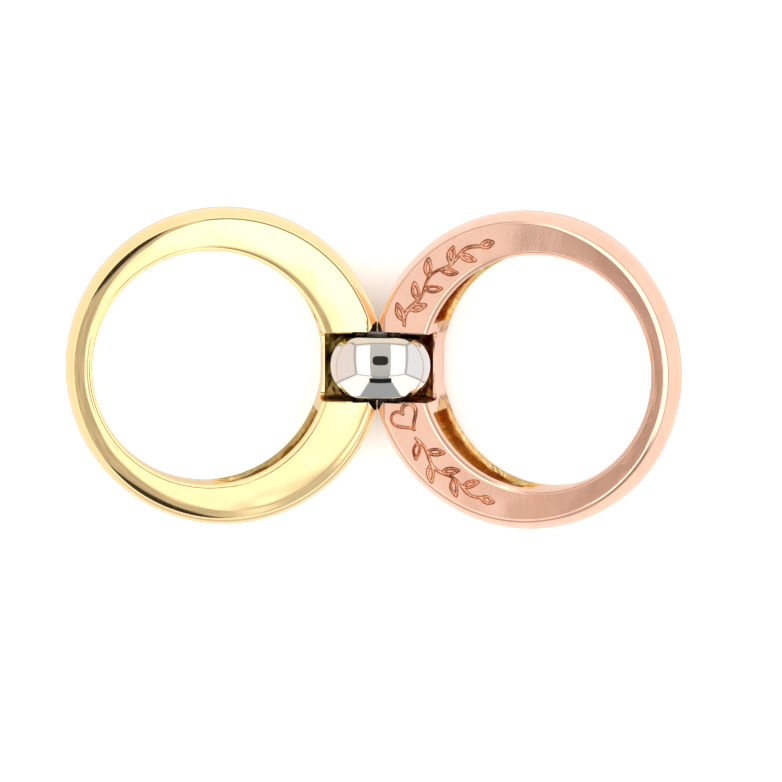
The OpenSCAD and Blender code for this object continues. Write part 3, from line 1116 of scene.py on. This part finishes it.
def yellow_tent(t, P):
    rho, al, cu, sw, z, d = polar(t, P, False)
    q = rho * (cu * math.cos(math.radians(40)) + sw * math.sin(math.radians(40)))
    tone = noise(t, d, 14, 3.0, 0.6)
    val = q.step(1.2, 4.4) * 0.66 + 1.36 + (tone - 0.5) * 0.5
    left = al.step(94, 110) * al.step(288, 262)
    k = ((al - 180.0).abs() / 64.0).min(1.0)
    tan = ramp(rho, k * 1.5 + 7.6, k * 11.0 + 10.5) * left
    low = al.step(264, 290) * al.step(356, 346) * rho.band(10, 20, 4.0)
    val = blend(val, (tone - 0.5) * 0.9 + 0.60, tan.max(low))
    edge = rho.step(13, 20) * left.rsub(1.0) * al.band(276, 350, 7).rsub(1.0)
    val = blend(val, 0.34, edge)
    ku, kl = (al - 132.0) / 23.0, (al - 246.0) / 27.0
    up_edge, low_edge = ku * ku * 20.0 + 26.0, kl * kl * 14.0 + 31.0
    lens = ramp(rho, up_edge, up_edge + 4.0) * al.lt(186) + ramp(rho, low_edge, low_edge + 4.0) * al.gt(186)
    val = blend(val, 0.035, lens * left)
    brown = (al.band(282, 350, 8) * rho.step(34, 40)).max(al.band(288, 322, 10) * rho.step(15, 23))
    val = blend(val, 0.66, brown)
    # beyond the shoulder: bright, then the sides and the table
    val = blend(val, 1.35, rho.step(45, 50))
    val = blend(val, 1.12, rho.step(74, 86))
    val = val * (al.band(238, 338, 12) * rho.band(94, 124, 7) * -0.36 + 1.0)
    down = z.step(-0.80, -0.97)
    val = blend(val, 0.88, down)
    col = mix(t, tan.max(low), (1.0, 0.985, 0.955), (1.0, 0.94, 0.86))
    col = mix(t, down, col, (1.0, 0.86, 0.64))
    return col, val


def rose_tent(t, P):
    rho, al, cu, sw, z, d = polar(t, P, True)
    q = rho * cu
    tone = noise(t, d, 20, 3.0, 0.65)
    lower = sw.step(0.2, -0.2)
    pale = ramp(q, lower * 0.9 - 0.8, lower * 1.4 + 0.5)
    val = blend((tone - 0.5) * 1.7 + 0.60, (tone - 0.5) * 0.35 + 1.0, pale)
    line = q.band(-0.6, 0.2, 0.5) * al.band(60, 120, 10)
    val = blend(val, 0.48, line)
    out = al.band(88, 244, 10)
    cream = out * rho.step(8, 11)
    val = blend(val, 0.30, al.band(84, 140, 8) * rho.band(8, 14, 1.6))
    val = blend(val, 1.95, cream * rho.step(12, 15).max(al.step(138, 152)))
    rest = out.rsub(1.0) * rho.step(8, 11)
    val = blend(val, 1.25, rest * al.band(250, 345, 8))
    val = blend(val, 0.58, out.rsub(1.0) * rho.band(24, 58, 6))
    val = blend(val, 0.24, al.band(204, 244, 8) * rho.band(40, 54, 4))
    val = blend(val, 1.14, rho.step(64, 80))
    val = blend(val, 0.60, al.band(98, 262, 8) * rho.band(55, 80, 4))
    down = z.step(-0.80, -0.97)
    val = blend(val, 0.92, down)
    brown = pale.rsub(1.0) * rho.step(12, 8)
    col = mix(t, brown, (1.0, 0.99, 0.98), (1.0, 0.87, 0.79))
    col = mix(t, down, col, (1.0, 0.87, 0.76))
    return col, val


def ball_tent(t, P):
    """A box of white panels round the camera, with the slit that the lens looks through."""
    ax, ay, x, y, z = angles(t, P)
    walls = [z, x * (-1 / 0.95), x * (1 / 1.0), y * (-1 / 0.48), y * (1 / 0.62)]
    big = walls[0]
    for w in walls[1:]:
        big = big.max(w)
    second = None
    for w in walls:
        v = w - w.gt(big - 1e-5) * 10.0
        second = v if second is None else second.max(v)
    edge = (big - second).step(0.085, 0.01)
    front, left, rght, bottom, top = [w.gt(big - 1e-5) for w in walls]
    X = x / z.max(0.02)
    Y = y / z.max(0.02)
    slit_f = X.abs().step(0.365, 0.345) * front
    slit_b = (x * 0.48 / (y * -1.0).max(0.02)).abs().step(0.30, 0.275) * bottom
    bar = Y.band(-0.80, -0.58, 0.015) * X.abs().step(0.43, 0.41) * z.gt(0.02)
    # rounded opening for the lens
    ex, ey = X / 0.262, (Y - 0.066) / 0.150
    lens = (ex.pow(4.0) + ey.abs().pow(3.0)).step(1.12, 0.90) * z.gt(0.02)
    grain = noise(t, P, 46, 3.0, 0.6)
    val = front * 1.6 + left * 1.03 + rght * 1.08 + bottom * 1.36 + top * 1.06
    val = val * (edge * -0.52 + 1.0)
    val = val * slit_f.rsub(1.0) + slit_f * (Y * 0.12 + 0.66)
    val = val * slit_b.rsub(1.0) + slit_b * 0.47
    val = val * bar.rsub(1.0) + bar * 0.02
    val = val * lens.rsub(1.0) + lens * (grain * 0.055 + 0.010)
    col = mix(t, left, (1.0, 0.99, 0.97), (1.0, 0.895, 0.86))
    col = mix(t, rght, col, (0.95, 0.955, 1.0))
    col = mix(t, top, col, (1.0, 0.89, 0.78))
    col = mix(t, slit_b, col, (0.93, 0.99, 1.0))
    return col, val


floor_dome = sphere("floor_tent", 2.0)
floor_dome.data.materials.append(glow("floor_tent_light", lambda t, P: ((1, 1, 1), 2.0), through=False))
yellow_dome = sphere("yellow_tent", 0.150)
yellow_dome.data.materials.append(glow("yellow_tent_light", yellow_tent))
yellow_dome.location = tuple(band_frame(False)[0])
rose_dome = sphere("rose_tent", 0.150)
rose_dome.data.materials.append(glow("rose_tent_light", rose_tent))
rose_dome.location = tuple(band_frame(True)[0])
ball_dome = sphere("ball_tent", 0.50)
ball_dome.data.materials.append(glow("ball_tent_light", ball_tent))
for o in (yellow_dome, rose_dome, ball_dome):
    o.visible_camera = False
    o.visible_shadow = False

floor_me = bpy.data.meshes.new("floor")
R = 1.9
floor_me.from_pydata([(-R, -R, 0), (R, -R, 0), (R, R, 0), (-R, R, 0)], [], [(0, 1, 2, 3)])
floor = bpy.data.objects.new("floor", floor_me)
scene.collection.objects.link(floor)
mf = bpy.data.materials.new("pale_floor")
mf.use_nodes = True
tf = mf.node_tree
bf = tf.nodes["Principled BSDF"]
bf.inputs["Roughness"].default_value = 0.8
bf.inputs["Specular IOR Level"].default_value = 0.1
tf.links.new(mix(tf, noise(tf, object_coords(tf), 60, 3.0), (0.93, 0.93, 0.925), (0.95, 0.95, 0.945)), bf.inputs["Base Color"])
floor_me.materials.append(mf)
floor.visible_glossy = False

link_to(yellow_dome, yellow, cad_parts["yellow_pin"])
link_to(rose_dome, rose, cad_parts["rose_pin"])
link_to(ball_dome, ball)
link_to(floor_dome, floor)

# ------------------------------------------------------------ colour and film
scene.view_settings.view_transform = "Standard"
scene.view_settings.look = "None"
scene.view_settings.exposure = 0.0
scene.cycles.use_denoising = True
scene.cycles.max_bounces = 10
scene.cycles.glossy_bounces = 8
scene.cycles.transparent_max_bounces = 12
scene.cycles.sample_clamp_indirect = 8
